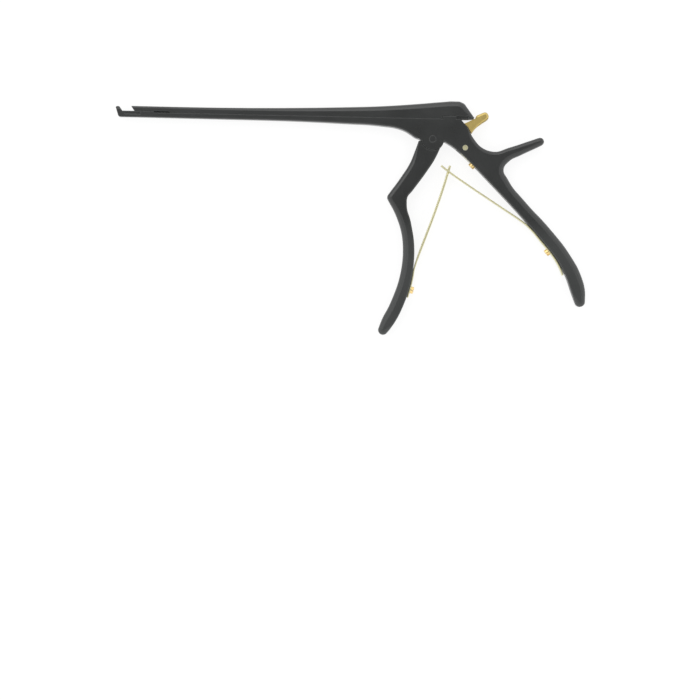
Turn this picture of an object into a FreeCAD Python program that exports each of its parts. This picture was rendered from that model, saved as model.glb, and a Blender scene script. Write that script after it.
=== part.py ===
import FreeCAD, Part
import os
from collections import namedtuple
from math import acos, asin, atan2, cos, degrees, hypot, radians, sin, tan

# Laminectomy punch (Kerrison pattern) lying on its side. Millimetres.
# X runs from the jaws to the handles, Y from the handles up to the slide, Z through the thickness.
# The origin is where the front handle's pivot axis meets the side that the punch rests on.

# Thickness, through Z
thickness = 10.0
mid = thickness / 2
slot_width = 4.8
tongue_width = 4.4
slide_relief = 0.1
tip_width = 5.0
taper_start = -30.0

# Shaft, bed and jaws
foot_x = -186.4
foot_angle = 34.0
foot_top = 15.75
foot_thickness = 1.9
foot_round = 2.2
bed_y = 12.9
seam_y = 12.15
shaft_bottom = 9.35
jaw_gap = 7.3
stroke = 7.1
slide_clearance = 0.05

# Guide of the slide in the shaft, measured from the foot
window_start = 1.5
window_end = 11.0
window_wall = 0.45
rail_end = 19.2
release_end = 30.3
guide_floor = 11.0
lip = 0.45
guide_width = 3.3
neck_width = 1.8
guide_play = 0.1
foot_of_slide_length = 8.0
foot_of_slide_back = 2.6

# Slide
slide_front_top = 15.9
slide_back_top = 22.9
bite_width = 2.8
bite_height = 1.3
bite_depth = 1.6
step_after_rail = 9.2
tail_tip = (24.9, 12.95)
tail_radius = 0.45

# Rear side rails of the frame
side_rail_start = 5.6
side_rail_end = 13.8
side_rail_height = 1.75
side_rail_width = 1.0
side_rail_play = 0.2

# Lever joint
lobe_radius = 6.6
lobe_gap = 0.3
slot_half_length = 7.2
pivot_diameter = 4.0
pin_play = 0.1
drive_radius = 16.5
drive_pin_diameter = 3.0
drive_pin_length = 8.0
drive_pin_wall = 0.75
tongue_tip_radius = 2.9
tongue_root_radius = 5.2
pocket_half_length = 5.3
pocket_play = 0.4

# Rounding of the outer edges, as a width on the side and a depth on the edge, and the bevel of the inner ones
grip_round = (3.2, 2.7)
end_round = (2.4, 2.4)
spur_round = (1.9, 1.9)
faint_round = (0.55, 0.55)
inner_bevel = 0.55
shaft_round = (0.9, 0.9)
slide_round_front = (0.9, 1.0)
slide_round_back = (3.0, 2.5)
slide_round_tail = (1.6, 1.6)
tab_round = (1.3, 1.7)
fullness = 0.68
round_facets = 3

# Latch
latch_pin = (19.6, -4.8)
latch_pin_diameter = 3.2
latch_arm_width = 4.0
latch_slot_play = 0.2
latch_tab_width = 8.0
latch_boss = 3.2
latch_heel_arm = 2.9
latch_heel_radius = 1.3
latch_heel_gap = 0.05
thumb_hollow_radius = 7.0
thumb_hollow_depth = 0.7

# Latch spring and its screw, on the inner face of the rear arm
latch_spring_seat = 24.3
latch_spring_thickness = 0.8
latch_spring_width = 3.6
latch_spring_reach = 10.6
latch_spring_tail = 2.5
latch_screw_head = (4.2, 1.6)
latch_screw_shank = (2.0, 4.5)

# Leaf springs between the handles
leaf_thickness = 0.95
leaf_root_width = 6.0
leaf_tip_width = 4.8
leaf_gap = 0.1
leaf_lift = 0.7
fork_width = 2.2
fork_depth = 6.5
blade_width = 1.8
blade_length = 5.0
rear_screw_seat = 71.7
front_screw_seat = -90.2
leaf_screw_head = (4.2, 1.8)
leaf_screw_shank = (2.4, 5.0)
driver_slot = (0.7, 0.8)
head_bevel = 0.3
head_play = 0.1

drive_angle = degrees(asin(stroke / 2 / drive_radius))
drive_x = drive_radius * sin(radians(drive_angle))
drive_y = drive_radius * cos(radians(drive_angle))


# A stretch of an outline: a straight one has no centre, and the sweep of an arc is positive anticlockwise
Run = namedtuple("Run", "start end centre radius angle sweep")


def vec(point, z=0.0):
    return FreeCAD.Vector(point[0], point[1], z)


def line(a, b):
    return Part.makeLine(vec(a), vec(b))


def arc(a, through, b):
    return Part.Arc(vec(a), vec(through), vec(b)).toShape()


def on_circle(centre, radius, angle):
    return (centre[0] + radius * cos(radians(angle)), centre[1] + radius * sin(radians(angle)))


def rounded_corner(a, corner, b, radius):
    """Start, middle and end of the arc that rounds the corner between the runs to a and b."""
    arms = []
    for end in (a, b):
        length = hypot(end[0] - corner[0], end[1] - corner[1])
        arms.append(((end[0] - corner[0]) / length, (end[1] - corner[1]) / length))
    half = acos(arms[0][0] * arms[1][0] + arms[0][1] * arms[1][1]) / 2
    bisector = (arms[0][0] + arms[1][0], arms[0][1] + arms[1][1])
    size = hypot(*bisector)
    back, deep = radius / tan(half), (radius / sin(half) - radius) / size
    start, end = ((corner[0] + arm[0] * back, corner[1] + arm[1] * back) for arm in arms)
    return start, (corner[0] + bisector[0] * deep, corner[1] + bisector[1] * deep), end


def heading(angle, turn=1):
    """Direction of travel at an angle on a circle, anticlockwise, or clockwise with turn -1."""
    return (-turn * sin(radians(angle)), turn * cos(radians(angle)))


def round_end(centre, radius, start, end):
    """Arc about centre from one angle to another, in degrees."""
    angles = (start, (start + end) / 2, end)
    return arc(*(on_circle(centre, radius, angle) for angle in angles))


def curve(points):
    spline = Part.BSplineCurve()
    spline.interpolate(Points=[vec(p) for p in points])
    return spline


def straight(a, b):
    return Run(a, b, None, 0, 0, 0)


def turn_round(centre, radius, start, end):
    """Arc about centre from one angle to another, in degrees."""
    ends = (on_circle(centre, radius, angle) for angle in (start, end))
    return Run(*ends, centre, radius, start, end - start)


def bend(a, way, b):
    """Arc from a, leaving in the given direction, to b; a straight run where it hardly bends."""
    chord = (b[0] - a[0], b[1] - a[1])
    rise = way[0] * chord[1] - way[1] * chord[0]
    if abs(rise) < 1e-5:
        return straight(a, b)
    radius = (chord[0] ** 2 + chord[1] ** 2) / (2 * rise)
    centre = (a[0] - way[1] * radius, a[1] + way[0] * radius)
    first = degrees(atan2(a[1] - centre[1], a[0] - centre[0]))
    last = degrees(atan2(b[1] - centre[1], b[0] - centre[0]))
    sweep = (last - first) % 360 if radius > 0 else -((first - last) % 360)
    return Run(a, b, centre, abs(radius), first, sweep)


def at_share(run, share):
    """Place and direction of travel at a share of a run's length."""
    if run.centre is None:
        way = (run.end[0] - run.start[0], run.end[1] - run.start[1])
        size = hypot(*way)
        return (run.start[0] + way[0] * share, run.start[1] + way[1] * share), (way[0] / size, way[1] / size)
    angle = run.angle + run.sweep * share
    return on_circle(run.centre, run.radius, angle), heading(angle, 1 if run.sweep > 0 else -1)


def length_of(run):
    if run.centre is None:
        return hypot(run.end[0] - run.start[0], run.end[1] - run.start[1])
    return run.radius * radians(abs(run.sweep))


def edge_of(run):
    if run.centre is None:
        return line(run.start, run.end)
    return arc(run.start, at_share(run, 0.5)[0], run.end)


def unit(way):
    size = hypot(*way)
    return (way[0] / size, way[1] / size)


def chain(points, start, end):
    """Tangent arcs through the points, two between each pair, from one direction to another."""
    ways = [unit(start)]
    for before, here, after in zip(points, points[1:], points[2:]):
        back, ahead = (here[0] - before[0], here[1] - before[1]), (after[0] - here[0], after[1] - here[1])
        ratio = hypot(*ahead) / hypot(*back)
        ways.append(unit((back[0] * ratio + ahead[0] / ratio, back[1] * ratio + ahead[1] / ratio)))
    ways.append(unit(end))
    runs = []
    for a, b, u, w in zip(points, points[1:], ways, ways[1:]):
        chord = (b[0] - a[0], b[1] - a[1])
        size = chord[0] ** 2 + chord[1] ** 2
        along = chord[0] * (u[0] + w[0]) + chord[1] * (u[1] + w[1])
        spread = 2 * (1 - u[0] * w[0] - u[1] * w[1])
        reach = size / (along + hypot(along, (max(0.0, spread) * size) ** 0.5))
        joint = ((a[0] + b[0] + reach * (u[0] - w[0])) / 2, (a[1] + b[1] + reach * (u[1] - w[1])) / 2)
        first = bend(a, u, joint)
        runs += [first, bend(joint, at_share(first, 1)[1], b)]
    return runs


def plate(edges, z0, z1):
    """Solid between z0 and z1 whose outline is the closed chain of runs or edges."""
    edges = [edge_of(edge) if isinstance(edge, Run) else edge for edge in edges]
    face = Part.Face(Part.Wire(Part.__sortEdges__(edges)))
    solid = face.extrude(FreeCAD.Vector(0, 0, z1 - z0))
    solid.translate(FreeCAD.Vector(0, 0, z0))
    return solid


def polygon(points, z0, z1):
    closed = points + points[:1]
    return plate([line(a, b) for a, b in zip(closed, closed[1:])], z0, z1)


def middle(points, width):
    return polygon(points, mid - width / 2, mid + width / 2)


def box(x0, x1, y0, y1, z0, z1):
    return Part.makeBox(x1 - x0, y1 - y0, z1 - z0, FreeCAD.Vector(x0, y0, z0))


def across(centre, diameter, z0, z1):
    """Round bar through the thickness."""
    return Part.makeCylinder(diameter / 2, z1 - z0, vec(centre, z0))


def link(a, radius_a, b, radius_b, width):
    """Flat link in the middle plane: two round ends joined by their common tangents."""
    dx, dy = b[0] - a[0], b[1] - a[1]
    along = atan2(dy, dx)
    lean = asin((radius_a - radius_b) / hypot(dx, dy))
    left, right = degrees(along) + 90 - degrees(lean), degrees(along) - 90 + degrees(lean)
    edges = [
        round_end(a, radius_a, left, right + 360),
        line(on_circle(a, radius_a, right), on_circle(b, radius_b, right)),
        round_end(b, radius_b, right, left),
        line(on_circle(b, radius_b, left), on_circle(a, radius_a, left)),
    ]
    return plate(edges, mid - width / 2, mid + width / 2)


def tapered(relief):
    """The room that the shaft may fill, seen from above: narrow at the jaws, full width at the handles."""
    wide, narrow = mid - relief, tip_width / 2 - relief
    ends = (-200.0, taper_start, 110.0)
    slope = (wide - narrow) / (taper_start - foot_x)
    half = (narrow + slope * (ends[0] - foot_x), wide, wide)
    outline = [(x, mid - h) for x, h in zip(ends, half)] + [(x, mid + h) for x, h in zip(ends, half)][::-1]
    room = polygon(outline, 0, 160)
    room.rotate(FreeCAD.Vector(0, 0, 0), FreeCAD.Vector(1, 0, 0), 90)
    room.translate(FreeCAD.Vector(0, 35, 0))
    return room


def both_sides(solid):
    """The solid and its mirror image about the middle plane."""
    return [solid, solid.mirror(FreeCAD.Vector(0, 0, mid), FreeCAD.Vector(0, 0, 1))]


def side_level(x):
    """Height of the shaft's upper side at x."""
    narrow = tip_width / 2
    return mid + min(mid, narrow + (mid - narrow) * (x - foot_x) / (taper_start - foot_x))


def flat_level(_x):
    return thickness


def corner_section(place, way, side, size, level, facets=round_facets):
    """Section of what is cut off an upper edge: side is 1 where the piece is on the left of the way."""
    width, depth = size
    inward = (-way[1] * side, way[0] * side)

    def at(reach, z):
        return FreeCAD.Vector(place[0] + inward[0] * reach, place[1] + inward[1] * reach, z)

    clear = 1.0
    through = at(width * (1 - fullness), level - depth * (1 - fullness))
    slope = Part.Arc(at(width, level), through, at(0, level - depth)).toShape().discretize(facets + 1)
    outside = [at(-clear, level - depth), at(-clear, level + clear), at(width, level + clear)]
    return Part.makePolygon(slope + outside + slope[:1])


def rounding(runs, side, first, last=None, level=flat_level, steps=2):
    """What is cut off to round the edges over the runs, on both sides, from one size to another."""
    last = last or first
    total, gone, sections = sum(length_of(run) for run in runs), 0.0, []
    for run in runs:
        for step in range(steps):
            share = (gone + length_of(run) * step / steps) / total
            share = share * share * (3 - 2 * share)
            size = tuple(a + (b - a) * share for a, b in zip(first, last))
            place, way = at_share(run, step / steps)
            sections.append(corner_section(place, way, side, size, level(place[0])))
        gone += length_of(run)
    place, way = at_share(runs[-1], 1)
    sections.append(corner_section(place, way, side, last, level(place[0])))
    return both_sides(Part.makeLoft(sections, True, True))


def bevelling(runs, side, width):
    """What is cut off to bevel the edges over the runs, on both sides."""
    cutters = []
    for run in runs:
        face = Part.Face(corner_section(*at_share(run, 0), side, (width, width), thickness, 1))
        if run.centre is None:
            solid = face.extrude(vec((run.end[0] - run.start[0], run.end[1] - run.start[1])))
        else:
            solid = face.revolve(vec(run.centre), FreeCAD.Vector(0, 0, 1), run.sweep)
        cutters += both_sides(solid)
    return cutters


def arched(x0, x1, top, half, radius):
    """Room with two rounded upper corners, seen from the front, that runs along X."""
    room = box(x0, x1, 0, top, mid - half + radius, mid + half - radius)
    room = room.fuse(box(x0, x1, 0, top - radius, mid - half, mid + half))
    for z in (mid - half + radius, mid + half - radius):
        corner = FreeCAD.Vector(x0, top - radius, z)
        room = room.fuse(Part.makeCylinder(radius, x1 - x0, corner, FreeCAD.Vector(1, 0, 0)))
    return room


def round_edges(solid, radius, wanted):
    """Round the edges that the test picks."""
    edges = [edge for edge in solid.Edges if wanted(edge)]
    return solid.makeFillet(radius, edges)


def middle_of(edge):
    first, last = edge.ParameterRange
    return edge.valueAt((first + last) / 2)


# Outlines of the two handles, which the springs and screws follow

spur_tip = (64.4, -0.05)
spur_radius = 2.3
frame_end = (90.45, -95.4)
frame_end_radius = 3.0
handle_end = (-27.1, -114.9)
handle_end_radius = 2.9
knee = (-23.8, -35.4)
knee_radius = 2.6

frame_corner = (16.5, seam_y)
latch_face_end = (20.8, 7.2)
shaft_straight = (-103.7, 9.2)
frame_nose = (-9.0, 0.15)

inner_face = chain(
    [on_circle(frame_end, frame_end_radius, 203), (85.4, -90.5), (81.5, -80.2), (76.2, -70.9),
     (66.2, -58.6), (53.8, -44.9), (35.4, -26.0), (23.1, -13.8), (17.0, -8.2), (10.9, -3.6),
     on_circle((0, 0), lobe_radius, -11)],
    heading(203, -1), (-0.9, 0.36))

grip_face = chain(
    [on_circle(handle_end, handle_end_radius, -42), (-20.6, -110.9), (-14.8, -98.8), (-11.3, -86.7),
     (-9.6, -74.6), (-9.7, -62.6), (-11.8, -50.7), (-14.6, -39.8), (-14.3, -35.2), (-11.2, -30.9),
     (-3.8, -20.5), (1.8, -11.5), on_circle((0, 0), lobe_radius + lobe_gap, -48)],
    heading(-42), (0.33, 0.94))


def seat_on(runs, key, along):
    """Foot and direction where the runs cross x = key, with along 0, or y = key, with along 1."""
    run = next(r for r in runs if (r.start[along] - key) * (r.end[along] - key) <= 0)
    low, high = 0.0, 1.0
    for _ in range(50):
        share = (low + high) / 2
        if (at_share(run, share)[0][along] < key) == (run.end[along] < key):
            high = share
        else:
            low = share
    place, way = at_share(run, low)
    return vec(place), vec(way)


def rear_seat(x):
    """On the inner face of the rear handle: foot, direction towards the pivot, and normal towards the gap."""
    point, tangent = seat_on(inner_face, x, 0)
    return point, tangent, FreeCAD.Vector(-tangent.y, tangent.x, 0)


def front_seat(y):
    """On the grip face of the front handle: foot, direction towards the pivot, and normal towards the gap."""
    point, tangent = seat_on(grip_face, y, 1)
    return point, tangent, FreeCAD.Vector(tangent.y, -tangent.x, 0)


def off(seat, distance, along=0.0):
    """Point at a height over a seat and a way along it."""
    point, tangent, normal = seat
    place = point + normal * distance + tangent * along
    return (place.x, place.y)


def turned(solid, seat):
    """Move a solid made about its own axis (+Z out of the seat) onto the seat."""
    point, tangent, normal = seat
    turn = FreeCAD.Rotation(FreeCAD.Vector(0, 0, 1), normal)
    solid = solid.copy()
    solid.Placement = FreeCAD.Placement(FreeCAD.Vector(point.x, point.y, mid), turn).multiply(solid.Placement)
    return solid


def cheese_head_screw(seat, head, shank, under_head):
    """Slotted screw whose head stands under_head above the seat, with its shank going into the piece."""
    diameter, height = head
    top = under_head + height
    body = Part.makeCylinder(diameter / 2, height, FreeCAD.Vector(0, 0, under_head))
    rim = [edge for edge in body.Edges if abs(middle_of(edge).z - top) < 0.001]
    body = body.makeChamfer(head_bevel, rim)
    width, depth = driver_slot
    corner = FreeCAD.Vector(-diameter / 2 - 0.5, -width / 2, top - depth)
    body = body.cut(Part.makeBox(diameter + 1, width, depth, corner))
    rod = Part.makeCylinder(shank[0] / 2, shank[1] + under_head, FreeCAD.Vector(0, 0, -shank[1]))
    return turned(body.fuse(rod).removeSplitter(), seat)


def screw_hole(seat, shank, play, height):
    rod = Part.makeCylinder(shank[0] / 2 + play, shank[1] + height, FreeCAD.Vector(0, 0, -shank[1]))
    return turned(rod, seat)


latch_seat = rear_seat(latch_spring_seat)
rear_leaf_seat = rear_seat(rear_screw_seat)
front_leaf_seat = front_seat(front_screw_seat)


def foot_plate():
    """Lower jaw: the plate at the tip that leans forward over the bed."""
    lean = tan(radians(foot_angle))
    inner_top = (foot_x - (foot_top - bed_y) * lean, foot_top)
    outer_top = (inner_top[0] - foot_thickness, foot_top - 1.0)
    corner = 0.6
    edges = [
        line((foot_x + 8, bed_y), (foot_x, bed_y)),
        line((foot_x, bed_y), (inner_top[0] + corner * lean, foot_top - corner)),
        arc((inner_top[0] + corner * lean, foot_top - corner), (inner_top[0] - 0.1, foot_top - 0.1),
            (inner_top[0] - corner, foot_top)),
        line((inner_top[0] - corner, foot_top), (outer_top[0] + corner, foot_top)),
        arc((outer_top[0] + corner, foot_top), (outer_top[0] + 0.12, foot_top - 0.35), outer_top),
        line(outer_top, (foot_x - 2.35, 10.2)),
        arc((foot_x - 2.35, 10.2), (foot_x - 1.85, 9.55), (foot_x - 1.0, shaft_bottom)),
        line((foot_x - 1.0, shaft_bottom), (foot_x + 8, shaft_bottom)),
        line((foot_x + 8, shaft_bottom), (foot_x + 8, bed_y)),
    ]
    return plate(edges, 0, thickness)


def frame_runs():
    """Named stretches of the frame's outline, clockwise from the jaws."""
    toward_spur = (latch_face_end[0] - frame_corner[0], latch_face_end[1] - frame_corner[1])
    return {
        "seam": [straight((foot_x, seam_y), frame_corner), straight(frame_corner, latch_face_end)],
        "back": chain(
            [latch_face_end, (22.9, 3.4), (25.0, 0.3), (28.9, -3.9), (36.5, -6.7), (46.9, -3.75),
             (58.8, 0.45), on_circle(spur_tip, spur_radius, 104)],
            toward_spur, heading(104, -1)),
        "spur": [turn_round(spur_tip, spur_radius, 104, -62)],
        "grip": chain(
            [on_circle(spur_tip, spur_radius, -62), (53.0, -8.3), (46.9, -11.5), (43.0, -16.8), (46.2, -24.0),
             (57.1, -37.1), (70.4, -50.9), (83.2, -66.5), (90.2, -78.4), (93.3, -88.5),
             on_circle(frame_end, frame_end_radius, 0)],
            heading(-62, -1), heading(0, -1)),
        "end": [turn_round(frame_end, frame_end_radius, 0, 203 - 360)],
        "inner": inner_face,
        "lobe": [turn_round((0, 0), lobe_radius, -11, 187 - 360)],
        "nose": chain([on_circle((0, 0), lobe_radius, 187), frame_nose], (-1, 0.35), (-1, 0.1)),
        "under": chain(
            [frame_nose, (-10.4, 0.62), (-13.3, 2.5), (-16.6, 4.45), (-21.0, 5.95), (-31.7, 7.35),
             (-55.7, 8.35), shaft_straight],
            (-1, 0.1), (foot_x - shaft_straight[0], shaft_bottom - shaft_straight[1])),
        "shaft": [straight(shaft_straight, (foot_x, shaft_bottom)),
                  straight((foot_x, shaft_bottom), (foot_x, seam_y))],
    }


def latch_slot():
    """Room in the middle of the frame for the latch's arm and heel over its whole swing."""
    width = latch_arm_width + 2 * latch_slot_play
    x, y = latch_pin
    return middle(
        [(10.9, bed_y), (10.9, 9.3), (14.3, 4.5), (x - 3.6, y + 1.1), (x - 3.6, y - 1.2),
         (x - 6.0, y - 1.2), (x + 0.4, y - 7.6), (x + 2.0, y - 3.4), (x + 3.7, y - 1.5),
         (x + 9.6, y + 5.9), (x + 9.6, bed_y)], width)


def spring_groove():
    """Shallow groove for the latch spring in the inner face."""
    half = latch_spring_width / 2 + latch_slot_play
    corners = [off(latch_seat, h, a) for h, a in
               ((-latch_spring_thickness, -latch_spring_tail - 0.3), (2.0, -latch_spring_tail - 0.3),
                (2.0, latch_spring_reach + 1.0), (-latch_spring_thickness, latch_spring_reach + 1.0))]
    return polygon(corners, mid - half, mid + half)


def frame_and_shaft():
    runs = frame_runs()
    body = plate(sum(runs.values(), []), 0, thickness).common(tapered(0.0))
    back, grip, inner = runs["back"], runs["grip"], runs["inner"]
    for cutters in (
            rounding(back[:4], -1, faint_round, spur_round), rounding(back[4:], -1, spur_round),
            rounding(runs["spur"], -1, spur_round, steps=6), rounding(grip[:8], -1, spur_round, grip_round),
            rounding(grip[8:-4], -1, grip_round), rounding(grip[-4:], -1, grip_round, end_round),
            rounding(runs["end"], -1, end_round, steps=6), rounding(inner[:2], -1, end_round, faint_round),
            bevelling(inner[2:], -1, inner_bevel),
            rounding(runs["under"], -1, shaft_round, level=side_level),
            rounding(runs["shaft"][:1], -1, shaft_round, faint_round, side_level, 1)):
        body = body.cut(cutters)
    jaw_room = arched(foot_x - 10, foot_x + 20, foot_top, tip_width / 2, foot_round)
    jaw = foot_plate().common(tapered(0.0)).common(jaw_room)
    rail = box(foot_x, foot_x + rail_end, seam_y - 0.5, bed_y, 0, thickness).common(tapered(0.0))
    body = body.fuse([jaw, rail]).removeSplitter()
    top = bed_y + 1
    start, end = foot_x + window_start, foot_x + release_end - guide_width / 2
    undercut = box(start, end, guide_floor, bed_y - lip, mid - guide_width / 2, mid + guide_width / 2)
    neck = box(start, end, guide_floor, top, mid - neck_width / 2, mid + neck_width / 2)
    release = box(foot_x + rail_end, end, guide_floor, top, mid - guide_width / 2, mid + guide_width / 2)
    release_round = Part.makeCylinder(guide_width / 2, top - guide_floor, FreeCAD.Vector(end, guide_floor, mid),
                                      FreeCAD.Vector(0, 1, 0))
    window = both_sides(box(start, foot_x + window_end, guide_floor, bed_y - lip,
                            mid + guide_width / 2 + window_wall, thickness + 1))
    half = slot_width / 2
    tongue_slot = box(-slot_half_length, slot_half_length, -lobe_radius - 1, seam_y + 1,
                      mid - half, mid + half)
    cuts = window + [
        undercut, neck, release, release_round, tongue_slot, latch_slot(), spring_groove(),
        across((0, 0), pivot_diameter, -1, thickness + 1),
        across(latch_pin, latch_pin_diameter, -1, thickness + 1),
        screw_hole(latch_seat, latch_screw_shank, 0, 3),
        screw_hole(rear_leaf_seat, leaf_screw_shank, 0, 3)]
    body = body.cut(cuts)
    rails = [box(side_rail_start, side_rail_end, seam_y - 0.5, seam_y + side_rail_height,
                 z, z + side_rail_width) for z in (0, thickness - side_rail_width)]
    return body.fuse(rails).removeSplitter()


def slide_runs():
    """Named stretches of the slide's outline, clockwise from the jaw."""
    lean = tan(radians(foot_angle))
    front = foot_x + jaw_gap
    under = bed_y + slide_clearance
    low = seam_y + slide_clearance
    front_top = (front - (slide_front_top - under) * lean, slide_front_top)
    step = foot_x + rail_end + step_after_rail
    shoulder = (19.3, 20.75)
    tail_root, bed_end = (20.8, low + 0.1), (16.9, low)
    slope_end, tip_middle, tip_end = rounded_corner(shoulder, tail_tip, tail_root, tail_radius)
    slope = (slope_end[0] - shoulder[0], slope_end[1] - shoulder[1])
    top = chain(
        [front_top, (-127.0, 15.98), (-91.9, 16.6), (-55.9, 17.8), (-31.9, 18.95), (-8.0, 21.0), (4.0, 22.25),
         (12.0, slide_back_top), (16.6, 22.55), shoulder],
        (1, 0), slope)
    return {
        "face": [straight((front, under), front_top)],
        "top": top,
        "slope": [straight(shoulder, slope_end)],
        "tail": [arc(slope_end, tip_middle, tip_end)],
        "below": [straight(tip_end, tail_root), straight(tail_root, bed_end),
                  straight(bed_end, (step + 0.7, low)), straight((step + 0.7, low), (step, under)),
                  straight((step, under), (front, under))],
    }


def top_slide():
    runs = slide_runs()
    body = plate(sum(runs.values(), []), 0, thickness).common(tapered(slide_relief))
    level = lambda x: side_level(x) - slide_relief
    lead = straight((runs["top"][0].start[0] - 2, runs["top"][0].start[1]), runs["top"][0].start)
    body = body.cut(rounding([lead] + runs["top"], -1, slide_round_front, slide_round_back, level, 1))
    body = body.cut(rounding(runs["slope"], -1, slide_round_back, slide_round_tail, level))
    half = slot_width / 2
    pocket_top = drive_radius + tongue_tip_radius + pocket_play
    pocket = box(drive_x - pocket_half_length, drive_x + pocket_half_length, 0, pocket_top,
                 mid - half, mid + half)
    pocket = round_edges(pocket, 2.5, lambda e: abs(middle_of(e).y - pocket_top) < 0.001
                         and abs(e.tangentAt(e.FirstParameter).z) > 0.9)
    track = drive_pin_diameter / 2 + pin_play
    low, high = drive_pin_wall, thickness - drive_pin_wall
    pin_slot = box(drive_x - track, drive_x + track, 0, drive_radius, low, high)
    pin_slot = pin_slot.fuse(across((drive_x, drive_radius), 2 * track, low, high))
    recess_depth = side_rail_width + side_rail_play
    recess_end = side_rail_end + stroke + lobe_gap
    recess_top = seam_y + side_rail_height + side_rail_play
    recesses = [box(side_rail_start - lobe_gap, recess_end, 0, recess_top, z0, z1)
                for z0, z1 in ((-1, recess_depth), (thickness - recess_depth, thickness + 1))]
    nose_half = latch_arm_width / 2 + latch_slot_play + 0.1
    nose_slot = box(12.7, 40, 0, 14.6, mid - nose_half, mid + nose_half)
    lean = tan(radians(foot_angle))
    front = foot_x + jaw_gap
    bite_middle = bed_y + bite_height
    bite = Part.makeCylinder(bite_width / 2, 30, FreeCAD.Vector(front - 30 + bite_depth, bite_middle, mid),
                             FreeCAD.Vector(1, 0, 0))
    bite = bite.fuse(box(front - 30 + bite_depth, front + bite_depth, 0, bite_middle,
                         mid - bite_width / 2, mid + bite_width / 2))
    body = body.cut([pocket, pin_slot, nose_slot, bite] + recesses)
    start = front + foot_of_slide_back
    end = start + foot_of_slide_length
    foot = box(start, end, guide_floor + guide_play, bed_y - lip - guide_play,
               mid - guide_width / 2 + guide_play, mid + guide_width / 2 - guide_play)
    stem = box(start, end, guide_floor + guide_play, bed_y + 0.5,
               mid - neck_width / 2 + guide_play, mid + neck_width / 2 - guide_play)
    rib = box(end, foot_x + rail_end + step_after_rail + 0.5, seam_y - guide_play, bed_y + 0.5,
              mid - neck_width / 2 + guide_play, mid + neck_width / 2 - guide_play)
    return body.fuse([foot, stem, rib]).removeSplitter()


def front_handle():
    cup = lobe_radius + lobe_gap
    horn = (-8.4, -1.4)
    upper = chain([horn, (-10.3, -7.0), (-13.3, -14.7), (-18.9, -23.9), on_circle(knee, knee_radius, 145.5)],
                  (-0.3, -0.95), heading(145.5))
    lower = chain([on_circle(knee, knee_radius, 208.5), (-21.5, -44.9), (-17.3, -56.8), (-16.2, -68.8),
                   (-17.6, -81.8), (-23.2, -99.0), (-28.3, -109.6),
                   on_circle(handle_end, handle_end_radius, 161.6)],
                  heading(208.5), heading(161.6))
    at_knee = [turn_round(knee, knee_radius, 145.5, 208.5)]
    at_end = [turn_round(handle_end, handle_end_radius, 161.6, 318)]
    cup_run = turn_round((0, 0), cup, -48, 189 - 360)
    at_cup = [cup_run, straight(cup_run.end, horn)]
    body = plate(upper + at_knee + lower + at_end + grip_face + at_cup, 0, thickness)
    for cutters in (
            rounding(upper[:4], 1, faint_round, end_round), rounding(upper[4:], 1, end_round),
            rounding(at_knee, 1, end_round, steps=4), rounding(lower[:3], 1, end_round, grip_round),
            rounding(lower[3:-3], 1, grip_round), rounding(lower[-3:], 1, grip_round, end_round),
            rounding(at_end, 1, end_round, steps=6), rounding(grip_face[:2], 1, end_round, faint_round),
            bevelling(grip_face[2:], 1, inner_bevel)):
        body = body.cut(cutters)
    pivot, drive = (0, 0), (drive_x, drive_y)
    tongue = link(pivot, tongue_root_radius, drive, tongue_tip_radius, tongue_width)
    hub = across(pivot, 2 * cup, mid - tongue_width / 2, mid + tongue_width / 2)
    neck = middle([(-6.2, -2.6), (-8.0, -8.0), (0.0, -12.0), (4.2, -5.3)], tongue_width)
    body = body.fuse([tongue, hub, neck]).removeSplitter()
    return body.cut([across(pivot, pivot_diameter + pin_play, -1, thickness + 1),
                     across(drive, drive_pin_diameter, -1, thickness + 1),
                     screw_hole(front_leaf_seat, leaf_screw_shank, 0, 3)])


def leaf(points):
    """Spring strip: its middle line through the points, thick in the plane and tapering through Z."""
    middle_line = curve(points)
    first, last = middle_line.FirstParameter, middle_line.LastParameter
    sides = []
    for side in (-1, 1):
        row = []
        for k in range(len(points)):
            p = points[k]
            parameter = middle_line.parameter(vec(p))
            tangent = FreeCAD.Vector(*middle_line.tangent(parameter)[0])
            tangent.normalize()
            normal = FreeCAD.Vector(-tangent.y, tangent.x, 0)
            place = vec(p) + normal * (side * leaf_thickness / 2)
            row.append((place.x, place.y))
        sides.append(row)
    low, high = sides
    edges = [curve(low).toShape(), line(low[-1], high[-1]), curve(high).toShape(), line(high[0], low[0])]
    strip = plate(edges, 0, thickness)
    root, tip = vec(points[0]), vec(points[-1])
    along = tip - root
    length = along.Length + 6
    plan = polygon([(-3, mid - leaf_root_width / 2), (length * 0.35, mid - leaf_root_width / 2),
                    (length, mid - leaf_tip_width / 2), (length, mid + leaf_tip_width / 2),
                    (length * 0.35, mid + leaf_root_width / 2), (-3, mid + leaf_root_width / 2)], -60, 60)
    # The plan is drawn along X with its width in Y, then stood up so that the width runs through Z
    plan.rotate(FreeCAD.Vector(0, 0, 0), FreeCAD.Vector(1, 0, 0), 90)
    plan.rotate(FreeCAD.Vector(0, 0, 0), FreeCAD.Vector(0, 0, 1), degrees(atan2(along.y, along.x)))
    plan.translate(root)
    return strip.common(plan)


crossing = (9.9, -18.9)
rear_tip = (5.5, -15.6)
front_tip = (10.9, -15.5)


def toward(a, b, distance):
    length = hypot(b[0] - a[0], b[1] - a[1])
    return (a[0] + (b[0] - a[0]) * distance / length, a[1] + (b[1] - a[1]) * distance / length)


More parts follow.
